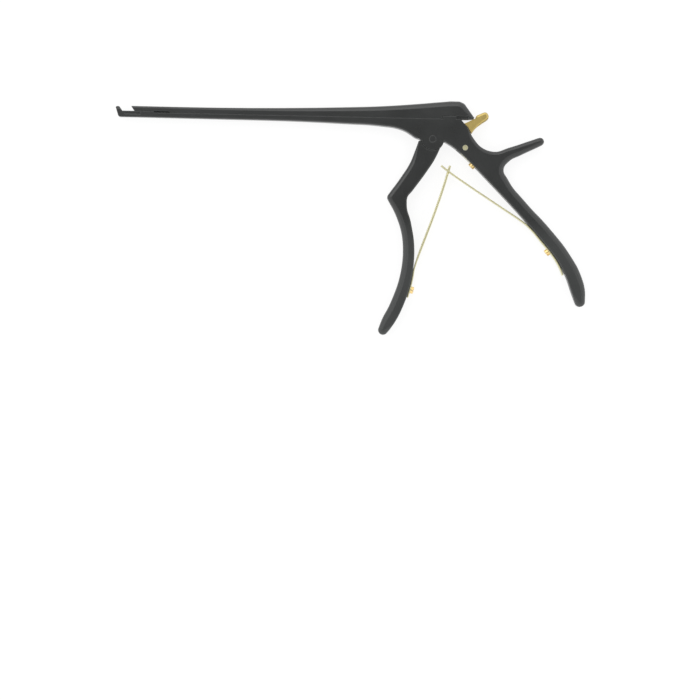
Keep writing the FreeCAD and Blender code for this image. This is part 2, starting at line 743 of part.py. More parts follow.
def end_block(tip, back, length, half, outside):
    """Block about the last stretch of a leaf, for cutting its fork or its blade."""
    along = (tip[0] - back[0], tip[1] - back[1])
    size = hypot(*along)
    u = (along[0] / size, along[1] / size)
    n = (-u[1], u[0])
    start = (tip[0] - u[0] * length, tip[1] - u[1] * length)
    stop = (tip[0] + u[0] * 3, tip[1] + u[1] * 3)
    corners = [(p[0] + n[0] * w, p[1] + n[1] * w) for p, w in ((start, -3), (stop, -3), (stop, 3), (start, 3))]
    if outside:
        return polygon(corners, -1, mid - half).fuse(polygon(corners, mid + half, thickness + 1))
    return polygon(corners, mid - half, mid + half)


def rear_leaf_spring():
    over = leaf_gap + leaf_thickness / 2
    lifted = [off(rear_seat(81.0), over + leaf_lift), off(rear_seat(78.6), over + leaf_lift / 3)]
    seated = [off(rear_seat(x), over) for x in (75.5, rear_screw_seat, 69.0, 65.5, 61.5)]
    free = [(55.1, -48.3), (40.5, -38.9), (25.9, -29.6), (14.9, -22.4), crossing, rear_tip]
    strip = leaf(lifted + seated + free)
    strip = strip.cut(end_block(rear_tip, crossing, fork_depth, fork_width / 2, False))
    return strip.cut(screw_hole(rear_leaf_seat, leaf_screw_shank, 0.1, 3))


def front_leaf_spring():
    over = leaf_gap + leaf_thickness / 2
    seated = [off(front_seat(y), over) for y in (-95.0, front_screw_seat, -86.0, -82.0, -78.0)]
    free = [(-7.2, -70.9), (-3.2, -59.5), (0.9, -48.0), (4.5, -37.2), (7.7, -26.8), crossing, front_tip]
    strip = leaf(seated + free)
    strip = strip.cut(end_block(front_tip, crossing, blade_length, blade_width / 2, True))
    return strip.cut(screw_hole(front_leaf_seat, leaf_screw_shank, 0.1, 3))


def latch_spring():
    """Flat spring under the latch's heel, screwed to the inner face."""
    half = latch_spring_width / 2
    corners = [off(latch_seat, h, a) for h, a in
               ((-latch_spring_thickness, -latch_spring_tail), (0, -latch_spring_tail),
                (0, latch_spring_reach), (-latch_spring_thickness, latch_spring_reach))]
    strip = polygon(corners, mid - half, mid + half)
    return strip.cut(screw_hole(latch_seat, latch_screw_shank, 0.1, 3))


def latch_heel():
    """Centre of the heel, where it just clears the latch spring with the latch shut."""
    foot, along, out = latch_seat
    height = (foot.x - latch_pin[0]) * out.x + (foot.y - latch_pin[1]) * out.y
    drop = height - latch_spring_thickness - latch_heel_radius - latch_heel_gap
    lean = acos(drop / latch_heel_arm)
    return on_circle(latch_pin, latch_heel_arm, degrees(atan2(out.y, out.x) + lean))


def release_latch():
    """Thumb latch: a narrow arm inside the frame with a hooked nose, and a wide tab outside."""
    x, y = latch_pin
    arm = middle([(x - 3.0, y + 1.0), (14.9, 4.6), (11.6, 9.7), (13.7, 13.3), (18.4, 10.0),
                  (20.5, 10.0), (22.6, 5.2), (x + 3.0, y + 1.0)], latch_arm_width)
    heel = latch_heel()
    boss = link(latch_pin, latch_boss, heel, latch_heel_radius, latch_arm_width)
    half = latch_tab_width / 2
    upper = chain([(25.75, 14.3), (28.2, 15.75), (30.6, 16.75)], (0.55, 0.83), (0.95, 0.3))
    tip = chain([(30.6, 16.75), (33.05, 15.3), (32.5, 12.3)], (0.95, 0.3), (-0.75, -0.66))
    lower = chain([(32.5, 12.3), (28.7, 9.6), (25.4, 6.9), (23.9, 4.9)], (-0.75, -0.66), (-0.6, -0.8))
    edges = [
        line((18.85, 9.75), (21.0, 10.75)),
        line((21.0, 10.75), (23.7, 12.2)),
        line((23.7, 12.2), (25.25, 12.85)),
        line((25.25, 12.85), (25.75, 14.3)),
        *upper, *tip, *lower,
        line((23.9, 4.9), (23.35, 3.85)),
        line((23.35, 3.85), (21.15, 7.45)),
        line((21.15, 7.45), (18.85, 9.75)),
    ]
    tab = plate(edges, mid - half, mid + half)
    tab_level = lambda x: mid + half
    tab = tab.cut(rounding(upper + tip, -1, tab_round, level=tab_level))
    tab = tab.cut(rounding(lower, -1, tab_round, faint_round, tab_level))
    away = FreeCAD.Vector(4.85, 2.45, 0)
    hollow_axis = FreeCAD.Vector(away)
    hollow_axis.normalize()
    rise = FreeCAD.Vector(-hollow_axis.y, hollow_axis.x, 0)
    height = thumb_hollow_radius - thumb_hollow_depth + 0.6
    start = FreeCAD.Vector(25.75, 14.3, mid) + rise * height - hollow_axis * 3
    tab = tab.cut(Part.makeCylinder(thumb_hollow_radius, 14, start, hollow_axis))
    bore = across(latch_pin, latch_pin_diameter + pin_play, -1, thickness + 1)
    return arm.fuse([boss, tab]).removeSplitter().cut(bore)


parts = {
    "frame_and_shaft": frame_and_shaft,
    "handle_pivot_pin": lambda: across((0, 0), pivot_diameter, 0, thickness),
    "latch_pivot_pin": lambda: across(latch_pin, latch_pin_diameter, 0, thickness),
    "latch_spring": latch_spring,
    "latch_spring_screw": lambda: cheese_head_screw(latch_seat, latch_screw_head, latch_screw_shank, 0.0),
    "rear_leaf_spring": rear_leaf_spring,
    "rear_spring_screw": lambda: cheese_head_screw(rear_leaf_seat, leaf_screw_head, leaf_screw_shank,
                                                   leaf_gap + leaf_thickness + head_play),
    "top_slide": top_slide,
    "front_handle": front_handle,
    "drive_pin": lambda: across((drive_x, drive_y), drive_pin_diameter, mid - drive_pin_length / 2,
                                mid + drive_pin_length / 2),
    "front_leaf_spring": front_leaf_spring,
    "front_spring_screw": lambda: cheese_head_screw(front_leaf_seat, leaf_screw_head, leaf_screw_shank,
                                                    leaf_gap + leaf_thickness),
    "release_latch": release_latch,
}

os.makedirs("parts", exist_ok=True)
for name, make in parts.items():
    shape = make()
    solids = len(shape.Solids)
    print(f"{name}: {solids} solid(s), valid {shape.isValid()}, {shape.Volume:.1f} mm3")
    shape.exportStep(f"parts/{name}.step")
print(f"drive angle each side {drive_angle:.3f} deg, pin at {drive_x:.3f}, {drive_y:.3f}")
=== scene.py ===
"""Looks of a laminectomy punch: satin black handles, shaft and slide, gold springs, screws and latch."""

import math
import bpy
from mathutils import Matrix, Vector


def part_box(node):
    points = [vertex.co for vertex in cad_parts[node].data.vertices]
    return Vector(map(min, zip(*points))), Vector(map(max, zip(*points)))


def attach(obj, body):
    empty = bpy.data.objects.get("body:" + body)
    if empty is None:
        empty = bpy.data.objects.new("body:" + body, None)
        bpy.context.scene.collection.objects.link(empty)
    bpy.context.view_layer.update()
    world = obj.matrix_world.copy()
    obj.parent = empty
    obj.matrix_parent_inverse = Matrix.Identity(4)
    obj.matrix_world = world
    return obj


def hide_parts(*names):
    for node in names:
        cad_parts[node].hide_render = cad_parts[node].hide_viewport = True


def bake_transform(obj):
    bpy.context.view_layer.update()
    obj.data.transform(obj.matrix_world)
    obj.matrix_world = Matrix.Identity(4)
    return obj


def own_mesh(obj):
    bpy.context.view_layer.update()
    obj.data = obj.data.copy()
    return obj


bl_info = {
    "name": "Laminectomy punch",
    "version": (1, 0, 0),
    "blender": (4, 5, 0),
    "location": "View3D > Sidebar > Punch",
    "description": "Dresses a laminectomy punch in its coatings, with bending leaf springs and a studio",
    "category": "Object",
}

import bmesh
import bpy
from bpy.props import FloatProperty, FloatVectorProperty, PointerProperty
from mathutils import Vector

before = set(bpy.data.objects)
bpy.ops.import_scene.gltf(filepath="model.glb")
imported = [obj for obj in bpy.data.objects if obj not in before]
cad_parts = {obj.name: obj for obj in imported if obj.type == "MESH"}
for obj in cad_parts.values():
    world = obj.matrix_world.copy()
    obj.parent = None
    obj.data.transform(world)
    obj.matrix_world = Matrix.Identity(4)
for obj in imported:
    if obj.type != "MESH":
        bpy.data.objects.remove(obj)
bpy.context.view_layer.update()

MM = 0.001

# The punch is the same above and below its middle plane
SHAFT_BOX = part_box("frame_and_shaft")
MIDDLE = (SHAFT_BOX[0].z + SHAFT_BOX[1].z) / 2

# Middle line of each spring strip, from its screwed end to its free end, in millimetres
REAR_LEAF = (
    (79.9, -79.7), (77.9, -75.1), (75.0, -70.2), (71.3, -65.3), (68.6, -62.2),
    (65.1, -58.2), (61.1, -53.6), (55.1, -48.3), (40.5, -38.9), (25.9, -29.6),
    (14.9, -22.4), (9.9, -18.9), (5.5, -15.6),
)
FRONT_LEAF = (
    (-12.9, -95.2), (-11.6, -90.3), (-10.6, -86.1), (-9.9, -82.1), (-9.3, -78.1), (-7.2, -70.9),
    (-3.2, -59.5), (0.9, -48.0), (4.5, -37.2), (7.7, -26.8), (9.9, -18.9), (10.9, -15.5),
)
LATCH_STRIP = ((26.38, -16.37), (16.91, -7.33))

# The front leaf lies on its seat this far, and then grows to its full thickness over the run, in millimetres
SEAT_END = 19.0
SWELL_RUN = 14.0

# The lower grips are painted lighter, a painted stand-in for the light on their rounded sides, and made
# rougher: not yet at the first height, and fully at the second, in millimetres
GRIP_TOP = -40.0
GRIP_FULL = -68.0

# The point that the camera looks at, in millimetres, and how far the camera is rolled, in degrees
VIEW_CENTRE = (-46.6, -127.4)
VIEW_ROLL = 1.31

# Brightness of the light tent, as (height, level): height is 0 at the horizon and 1 straight up
TENT_LEVELS = ((0.0, 0.85), (0.35, 0.75), (0.7, 0.62), (0.9, 0.75), (0.955, 0.26), (1.0, 0.17))


class PunchSizes(bpy.types.PropertyGroup):
    leaf_thickness: FloatProperty(
        name="Leaf thickness", description="Thickness of the two leaf springs",
        default=0.95 * MM, unit="LENGTH")
    front_swell: FloatProperty(
        name="Front leaf swell",
        description="Share by which the front leaf is thicker once it is free of the handle",
        default=0.5, min=0, subtype="FACTOR", soft_max=1)
    leaf_root: FloatProperty(
        name="Leaf width at the screw", description="Width of a leaf spring where it is screwed down",
        default=6.0 * MM, unit="LENGTH")
    leaf_tip: FloatProperty(
        name="Leaf width at the tip", description="Width of a leaf spring at its free end",
        default=4.8 * MM, unit="LENGTH")
    fork_gap: FloatProperty(
        name="Fork gap", description="Gap in the rear leaf's forked end",
        default=2.2 * MM, unit="LENGTH")
    fork_depth: FloatProperty(
        name="Fork depth", description="Depth of the gap in the rear leaf's end",
        default=6.5 * MM, unit="LENGTH")
    blade_width: FloatProperty(
        name="Blade width", description="Width of the front leaf's narrow end, which runs in the fork",
        default=1.8 * MM, unit="LENGTH")
    blade_length: FloatProperty(
        name="Blade length", description="Length of the front leaf's narrow end",
        default=5.0 * MM, unit="LENGTH")
    latch_strip_thickness: FloatProperty(
        name="Latch spring thickness", description="Thickness of the flat spring under the latch",
        default=0.8 * MM, unit="LENGTH")
    latch_strip_width: FloatProperty(
        name="Latch spring width", description="Width of the flat spring under the latch",
        default=3.6 * MM, unit="LENGTH")
    strip_edge: FloatProperty(
        name="Spring edge", description="Rounding of the springs' edges",
        default=0.24 * MM, unit="LENGTH")


class PunchFinishes(bpy.types.PropertyGroup):
    black: FloatVectorProperty(
        name="Black coating", description="Colour of the coating on the handles, shaft and slide",
        subtype="COLOR", size=3, min=0, max=1, default=(0.0095, 0.0108, 0.0104))
    latch_gold: FloatVectorProperty(
        name="Latch gold", description="Colour of the latch's coating",
        subtype="COLOR", size=3, min=0, max=1, default=(0.58, 0.445, 0.155))
    spring_gold: FloatVectorProperty(
        name="Spring gold", description="Colour of the coating on the springs and the latch pin",
        subtype="COLOR", size=3, min=0, max=1, default=(0.80, 0.76, 0.48))
    screw_gold: FloatVectorProperty(
        name="Screw gold", description="Colour of the coating on the screws",
        subtype="COLOR", size=3, min=0, max=1, default=(0.90, 0.66, 0.28))
    steel: FloatVectorProperty(
        name="Steel", description="Colour of bare ground steel",
        subtype="COLOR", size=3, min=0, max=1, default=(0.55, 0.55, 0.54))


class PunchStudio(bpy.types.PropertyGroup):
    camera_height: FloatProperty(
        name="Camera height", description="Height of the camera over the middle of the punch",
        default=1.75, unit="LENGTH")
    view_width: FloatProperty(
        name="View width", description="Width that the camera sees at the middle of the punch",
        default=0.42, unit="LENGTH")
    sky: FloatProperty(
        name="Sky", description="Strength of the even light from all round", default=0.85, min=0)
    key: FloatProperty(
        name="Key light", description="Power of the large soft light above",
        default=3.0, min=0, unit="POWER")
    floor_shade: FloatProperty(
        name="Floor shade", description="Share of the floor's white that the object's shadow can darken",
        default=0.16, min=0, max=1, subtype="FACTOR")


def new_group(name, inputs, outputs):
    """Node group with named sockets: inputs as (name, kind, default), outputs as (name, kind)."""
    group = bpy.data.node_groups.new(name, "ShaderNodeTree")
    for label, kind, default in inputs:
        socket = group.interface.new_socket(label, in_out="INPUT", socket_type=kind)
        if default is not None:
            socket.default_value = default
    for label, kind in outputs:
        group.interface.new_socket(label, in_out="OUTPUT", socket_type=kind)
    return group, group.nodes.new("NodeGroupInput"), group.nodes.new("NodeGroupOutput")


def add_node(tree, kind, settings=None, **values):
    """Node with its settings made and its inputs set: a socket is linked, any other value is written.

    An input goes by its name, with _ for a space, or by its number after an n.
    """
    node = tree.nodes.new(kind)
    for key, value in (settings or {}).items():
        setattr(node, key, value)
    for key, value in values.items():
        numbered = key[0] == "n" and key[1:].isdigit()
        socket = node.inputs[int(key[1:]) if numbered else key.replace("_", " ")]
        if isinstance(value, bpy.types.NodeSocket):
            tree.links.new(value, socket)
        else:
            socket.default_value = value
    return node


def maths(tree, operation, *values):
    """Result of a sum on values or sockets."""
    inputs = {f"n{place}": value for place, value in enumerate(values)}
    return add_node(tree, "ShaderNodeMath", {"operation": operation}, **inputs).outputs[0]


def rescale(tree, value, low, high, new_low, new_high, settings=None):
    """Value carried from one range to another and clamped at its ends."""
    return add_node(tree, "ShaderNodeMapRange", settings, Value=value,
                    n1=low, n2=high, n3=new_low, n4=new_high).outputs[0]


def noise(tree, place, scale, detail, roughness, settings=None):
    """Even noise between 0 and 1."""
    return add_node(tree, "ShaderNodeTexNoise", settings, Vector=place, Scale=scale,
                    Detail=detail, Roughness=roughness).outputs["Fac"]


def object_place(tree):
    """Place on the piece, in its own coordinates."""
    return add_node(tree, "ShaderNodeTexCoord").outputs["Object"]


def blasted_grain():
    """Fine even grain of a blasted and coated surface, with slow clouds in the colour."""
    group, given, out = new_group(
        "Blasted grain",
        [("Grain size", "NodeSocketFloat", 0.25 * MM), ("Cloud size", "NodeSocketFloat", 20 * MM)],
        [("Height", "NodeSocketFloat"), ("Clouds", "NodeSocketFloat")])
    place = object_place(group)
    fine_scale = maths(group, "DIVIDE", 1.0, given.outputs["Grain size"])
    fine = noise(group, place, fine_scale, detail=2.0, roughness=0.6)
    slow_scale = maths(group, "DIVIDE", 1.0, given.outputs["Cloud size"])
    slow = noise(group, place, slow_scale, detail=3.0, roughness=0.55)
    group.links.new(fine, out.inputs["Height"])
    group.links.new(slow, out.inputs["Clouds"])
    return group


def painted_edge_highlight():
    """Mask of a painted highlight along the edges, broken up by noise, and the normal of softened edges."""
    group, given, out = new_group(
        "Painted edge highlight",
        [("Width", "NodeSocketFloat", 0.4 * MM), ("Patch size", "NodeSocketFloat", 6 * MM),
         ("Amount", "NodeSocketFloat", 0.5)],
        [("Mask", "NodeSocketFloat"), ("Normal", "NodeSocketVector")])
    softened = add_node(group, "ShaderNodeBevel", {"samples": 6}, Radius=given.outputs["Width"]).outputs[0]
    surface = add_node(group, "ShaderNodeNewGeometry").outputs["Normal"]
    likeness = add_node(group, "ShaderNodeVectorMath", {"operation": "DOT_PRODUCT"},
                        n0=softened, n1=surface).outputs["Value"]
    # An edge begins where the two normals first part, and is full where they part by about 30 degrees
    edge = rescale(group, likeness, 0.995, 0.86, 0.0, 1.0)
    patch_scale = maths(group, "DIVIDE", 1.0, given.outputs["Patch size"])
    patches = noise(group, object_place(group), patch_scale, detail=5.0, roughness=0.65)
    broken = rescale(group, patches, 0.42, 0.62, 0.25, 1.0)
    # The mask is a painted highlight along the edges, broken into patches by noise
    mask = maths(group, "MULTIPLY", maths(group, "MULTIPLY", edge, broken), given.outputs["Amount"])
    group.links.new(mask, out.inputs["Mask"])
    group.links.new(softened, out.inputs["Normal"])
    return group


def drawn_grain():
    """Fine parallel lines left by drawing, along the first of the given coordinates."""
    group, given, out = new_group(
        "Drawn grain",
        [("Vector", "NodeSocketVector", None), ("Line length", "NodeSocketFloat", 20 * MM),
         ("Line width", "NodeSocketFloat", 0.15 * MM)],
        [("Height", "NodeSocketFloat")])
    parts = add_node(group, "ShaderNodeSeparateXYZ", Vector=given.outputs["Vector"])
    along = maths(group, "DIVIDE", parts.outputs["X"], given.outputs["Line length"])
    across = maths(group, "DIVIDE", parts.outputs["Y"], given.outputs["Line width"])
    place = add_node(group, "ShaderNodeCombineXYZ", X=along, Y=across).outputs[0]
    lines = noise(group, place, 1.0, detail=3.0, roughness=0.6, settings={"noise_dimensions": "2D"})
    group.links.new(lines, out.inputs["Height"])
    return group


EFFECTS = {"Blasted grain": blasted_grain, "Painted edge highlight": painted_edge_highlight, "Drawn grain": drawn_grain}


def effect(tree, name, **values):
    """Outputs of a shared effect, which is built once and placed in each material with its own values."""
    group = bpy.data.node_groups.get(name) or EFFECTS[name]()
    return add_node(tree, "ShaderNodeGroup", {"node_tree": group}, **values).outputs


def new_material(name):
    """Empty material with a Principled shader."""
    material = bpy.data.materials.new(name)
    material.use_nodes = True
    tree = material.node_tree
    tree.nodes.clear()
    shader = tree.nodes.new("ShaderNodeBsdfPrincipled")
    output = tree.nodes.new("ShaderNodeOutputMaterial")
    tree.links.new(shader.outputs[0], output.inputs["Surface"])
    return material, tree, shader


def feed(tree, shader, colour, roughness, normal=None):
    """Link what varies over the surface to the shader."""
    tree.links.new(colour, shader.inputs["Base Color"])
    tree.links.new(roughness, shader.inputs["Roughness"])
    if normal is not None:
        tree.links.new(normal, shader.inputs["Normal"])


def mix_colours(tree, share, a, b):
    """Colour between a and b, at b where the share is 1."""
    return add_node(tree, "ShaderNodeMix", {"data_type": "RGBA"}, n0=share, n6=a, n7=b).outputs[2]


def shaded(colour, shade):
    """Colour made darker or lighter, as a node takes it."""
    return (colour[0] * shade, colour[1] * shade, colour[2] * shade, 1.0)


def grain_bump(tree, height, strength, depth, **values):
    """Normal of a surface with a fine grain of the given depth."""
    return add_node(tree, "ShaderNodeBump", Height=height, Strength=strength, Distance=depth,
                    **values).outputs[0]


def black_coating(colour):
    """Satin black hard coating: fine grain, faint clouds, a painted highlight on the edges, and lower grips
    painted lighter as painted light and made rougher.
    """
    material, tree, shader = new_material("Satin black coating")
    shader.inputs["IOR"].default_value = 1.62
    grain = effect(tree, "Blasted grain")
    edge_light = effect(tree, "Painted edge highlight", Width=0.6 * MM, Amount=0.7)
    place = add_node(tree, "ShaderNodeSeparateXYZ", Vector=object_place(tree))
    # Painted light: the lower grips are painted lighter, and also made rougher
    grip_light_and_rough = rescale(tree, place.outputs["Y"], GRIP_TOP * MM, GRIP_FULL * MM, 0.0, 1.0,
                   {"interpolation_type": "SMOOTHSTEP"})
    clouds = mix_colours(tree, grain["Clouds"], shaded(colour, 0.8), shaded(colour, 1.2))
    grip_lit_colour = mix_colours(tree, grip_light_and_rough, clouds, shaded(colour, 1.7))
    # Painted highlight: the edges are painted up to six times lighter
    edge_lit = mix_colours(tree, edge_light["Mask"], grip_lit_colour, shaded(colour, 6.0))
    satin = rescale(tree, grain["Clouds"], 0.3, 0.7, 0.26, 0.34)
    duller = maths(tree, "MULTIPLY_ADD", grip_light_and_rough, 0.1, satin)
    bumps = grain_bump(tree, grain["Height"], 0.1, 0.05 * MM, Normal=edge_light["Normal"])
    feed(tree, shader, edge_lit, duller, bumps)
    return material


def gold_coating(name, colour, roughness, edge):
    """Gold coloured hard coating on blasted metal, with a painted highlight that makes its edges paler and
    less yellow.
    """
    material, tree, shader = new_material(name)
    shader.inputs["Metallic"].default_value = 1.0
    grain = effect(tree, "Blasted grain", Grain_size=0.18 * MM, Cloud_size=8 * MM)
    edge_light = effect(tree, "Painted edge highlight", Width=0.5 * MM, Patch_size=4 * MM, Amount=edge)
    clouds = mix_colours(tree, grain["Clouds"], shaded(colour, 0.9), shaded(colour, 1.1))
    # Painted highlight: the edges are painted paler and less yellow
    paler = (1.35, 1.45, 2.4)
    pale = [min(1.0, part * more) for part, more in zip(colour, paler)] + [1.0]
    edge_lit = mix_colours(tree, edge_light["Mask"], clouds, pale)
    satin = rescale(tree, grain["Clouds"], 0.3, 0.7, roughness - 0.04, roughness + 0.06)
    feed(tree, shader, edge_lit, satin, grain_bump(tree, grain["Height"], 0.1, 0.04 * MM))
    return material


def spring_coating(colour):
    """Pale gold coating over drawn spring strip, whose fine lines run along the leaf."""
    material, tree, shader = new_material("Pale gold spring strip")
    shader.inputs["Metallic"].default_value = 1.0
    along = add_node(tree, "ShaderNodeUVMap", {"uv_map": "along"}).outputs[0]
    lines = effect(tree, "Drawn grain", Vector=along)["Height"]
    grain = effect(tree, "Blasted grain", Cloud_size=12 * MM)
    clouds = mix_colours(tree, grain["Clouds"], shaded(colour, 0.88), shaded(colour, 1.1))
    lined = mix_colours(tree, lines, shaded(colour, 0.8), clouds)
    satin = rescale(tree, lines, 0.2, 0.8, 0.24, 0.4)
    feed(tree, shader, lined, satin, grain_bump(tree, lines, 0.2, 0.04 * MM))
    return material


def bare_steel(colour):
    """Ground steel with a fine grain."""
    material, tree, shader = new_material("Ground steel")
    shader.inputs["Metallic"].default_value = 1.0
    grain = effect(tree, "Blasted grain", Grain_size=0.1 * MM, Cloud_size=4 * MM)
    clouds = mix_colours(tree, grain["Clouds"], shaded(colour, 0.85), shaded(colour, 1.1))
    feed(tree, shader, clouds, rescale(tree, grain["Height"], 0.0, 1.0, 0.25, 0.4))
    return material


def dress(names, material):
    """Give CAD nodes a material, with smooth shading between their shallow facets."""
    sharp_from = math.radians(38)
    for name in names:
        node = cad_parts[name]
        node.data.materials.clear()
        node.data.materials.append(material)
        node.data.shade_smooth()
        node.data.set_sharp_from_angle(angle=sharp_from)
        even = node.modifiers.new("Even shading", "WEIGHTED_NORMAL")
        even.keep_sharp = True


def smooth_path(points):
    """Even curve through the points, as a list of (distance, place, direction), by a Catmull-Rom rule."""
    knots = [Vector((x * MM, y * MM, 0)) for x, y in points]
    knots = [knots[0] * 2 - knots[1]] + knots + [knots[-1] * 2 - knots[-2]]
    steps = 24
    places = []
    for k in range(1, len(knots) - 2):
        a, b, c, d = knots[k - 1:k + 3]
        for step in range(steps):
            t = step / steps
            places.append(0.5 * (2 * b + (c - a) * t + (2 * a - 5 * b + 4 * c - d) * t * t
                                 + (3 * b - a - 3 * c + d) * t ** 3))
    places.append(knots[-2])
    run = 0.0
    path = []
    for k, place in enumerate(places):
        if k:
            run += (place - places[k - 1]).length
        ahead = places[min(k + 1, len(places) - 1)] - places[max(k - 1, 0)]
        path.append((run, place, ahead.normalized()))
    return path


def along_path(path, distance):
    """Place and direction at a distance along the path, straight on beyond its ends."""
    if distance <= 0:
        return path[0][1] + path[0][2] * distance, path[0][2]
    for (s0, p0, d0), (s1, p1, d1) in zip(path, path[1:]):
        if distance <= s1:
            share = (distance - s0) / (s1 - s0)
            return p0.lerp(p1, share), d0.lerp(d1, share).normalized()
    return path[-1][1] + path[-1][2] * (distance - path[-1][0]), path[-1][2]


def strip_plan(length, root, tip, thickness, end):
    """Closed mesh of a flat strip along X, tapering from root to tip in Z.

    The end is (kind, width, depth): a fork lacks its middle band, and a blade its outer bands.
    """
    kind, width, depth = end or ("plain", root / 2, 0)
    whole = (True, True, True)
    kept = {"plain": whole, "fork": (True, False, True), "blade": (False, True, False)}[kind]
    step = 1.0 * MM
    body_steps = max(2, round((length - depth) / step))
    end_steps = round(depth / step)
    stations = [(length - depth) * k / body_steps for k in range(body_steps + 1)]
    stations += [length - depth + depth * k / end_steps for k in range(1, end_steps + 1)]
    bm = bmesh.new()
    rows = []
    for distance in stations:
        half = (root + (tip - root) * distance / length) / 2
        levels = (-half, -width / 2, width / 2, half)
        rows.append([[bm.verts.new((distance, y, z)) for z in levels]
                     for y in (-thickness / 2, thickness / 2)])

    def wall(*corners):
        bm.faces.new(corners)

    for k, (low, high) in enumerate(zip(rows, rows[1:])):
        there = kept if k >= body_steps else whole
        for band in range(3):
            if not there[band]:
                continue
            wall(low[0][band], high[0][band], high[0][band + 1], low[0][band + 1])
            wall(low[1][band], low[1][band + 1], high[1][band + 1], high[1][band])
            if band == 0 or not there[band - 1]:
                wall(low[0][band], low[1][band], high[1][band], high[0][band])
            if band == 2 or not there[band + 1]:
                wall(low[0][band + 1], high[0][band + 1], high[1][band + 1], low[1][band + 1])
    first = rows[0]
    for band in range(3):
        last = rows[-1] if kept[band] else rows[body_steps]
        wall(first[0][band], first[0][band + 1], first[1][band + 1], first[1][band])
        wall(last[0][band], last[1][band], last[1][band + 1], last[0][band + 1])
    loose = [corner for corner in bm.verts if not corner.link_faces]
    bmesh.ops.delete(bm, geom=loose, context="VERTS")
    bmesh.ops.recalc_face_normals(bm, faces=bm.faces)
    return bm


def round_edges(name, bm, width):
    """Mesh made from a flat strip, with its edges rounded."""
    mesh = bpy.data.meshes.new(name)
    bm.to_mesh(mesh)
    bm.free()
    flat = bpy.data.objects.new(name + "_flat", mesh)
    bpy.context.scene.collection.objects.link(flat)
    bevel = flat.modifiers.new("Rounded edges", "BEVEL")
    bevel.width = width
    bevel.segments = 3
    bevel.limit_method = "ANGLE"
    bevel.angle_limit = math.radians(40)
    rounded = bpy.data.meshes.new_from_object(flat.evaluated_get(bpy.context.evaluated_depsgraph_get()))
    bpy.data.objects.remove(flat)
    rounded.name = name
    return rounded


def spring_strip(name, points, root, tip, thickness, edge, end=None, swell=0.0):
    """Spring strip: cut flat with its end, its edges rounded, and then bent along its line.

    Past its seat a strip with a swell is thicker by that share.
    """
    path = smooth_path(points)
    mesh = round_edges(name, strip_plan(path[-1][0], root, tip, thickness, end), edge)
    layer = mesh.uv_layers.new(name="along")
    for loop in mesh.loops:
        corner = mesh.vertices[loop.vertex_index].co
        layer.data[loop.index].uv = (corner.x, corner.z + corner.y)
    for vertex in mesh.vertices:
        place, direction = along_path(path, vertex.co.x)
        normal = Vector((-direction.y, direction.x, 0))
        free = min(1.0, max(0.0, (vertex.co.x - SEAT_END * MM) / (SWELL_RUN * MM)))
        off = vertex.co.y * (1 + swell * free)
        vertex.co = place + normal * off + Vector((0, 0, MIDDLE + vertex.co.z))
    mesh.shade_smooth()
    mesh.set_sharp_from_angle(angle=math.radians(35))
    piece = bpy.data.objects.new(name, mesh)
    bpy.context.scene.collection.objects.link(piece)
    return piece


class PUNCH_OT_black_parts(bpy.types.Operator):
    """Coat the frame with its shaft, the slide, the front handle and its pivot pin in satin black"""
    bl_idname = "punch.black_parts"
    bl_label = "Coat the black parts"

    def execute(self, context):
        material = black_coating(context.scene.punch_finishes.black)
        dress(("frame_and_shaft", "top_slide", "front_handle", "handle_pivot_pin"), material)
        return {"FINISHED"}


class PUNCH_OT_leaf_springs(bpy.types.Operator):
    """Make the two leaf springs, which bend between the handles"""
    bl_idname = "punch.leaf_springs"
    bl_label = "Make the leaf springs"

    def execute(self, context):
        sizes = context.scene.punch_sizes
        material = spring_coating(context.scene.punch_finishes.spring_gold)
        fork = ("fork", sizes.fork_gap, sizes.fork_depth)
        blade = ("blade", sizes.blade_width, sizes.blade_length)
        for name, points, shape, swell, node in (
                ("rear_leaf", REAR_LEAF, fork, 0.0, "rear_leaf_spring"),
                ("front_leaf", FRONT_LEAF, blade, sizes.front_swell, "front_leaf_spring")):
            piece = spring_strip(name, points, sizes.leaf_root, sizes.leaf_tip, sizes.leaf_thickness,
                                 sizes.strip_edge, shape, swell)
            piece.data.materials.append(material)
            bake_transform(piece)
            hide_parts(node)
        return {"FINISHED"}


class PUNCH_OT_latch_spring(bpy.types.Operator):
    """Make the flat spring under the latch's heel, which gives way as the latch opens"""
    bl_idname = "punch.latch_spring"
    bl_label = "Make the latch spring"

    def execute(self, context):
        sizes = context.scene.punch_sizes
        piece = spring_strip("latch_strip", LATCH_STRIP, sizes.latch_strip_width, sizes.latch_strip_width,
                             sizes.latch_strip_thickness, sizes.strip_edge)
        piece.data.materials.append(bpy.data.materials["Pale gold spring strip"])
        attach(piece, "frame")
        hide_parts("latch_spring")
        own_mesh(piece)
        return {"FINISHED"}


class PUNCH_OT_gold_parts(bpy.types.Operator):
    """Coat the latch, its pin and the screws in gold, and leave the drive pin bare"""
    bl_idname = "punch.gold_parts"
    bl_label = "Coat the gold parts"

    def execute(self, context):
        finishes = context.scene.punch_finishes
        dress(("release_latch",),
              gold_coating("Gold latch coating", finishes.latch_gold, roughness=0.34, edge=0.9))
        dress(("latch_spring_screw", "rear_spring_screw", "front_spring_screw"),
              gold_coating("Gold screw coating", finishes.screw_gold, roughness=0.28, edge=0.8))
        dress(("latch_pivot_pin",),
              gold_coating("Gold pin coating", finishes.spring_gold, roughness=0.3, edge=0.5))
        dress(("drive_pin",), bare_steel(finishes.steel))
        return {"FINISHED"}


def grey(level):
    return (level, level, level, 1.0)


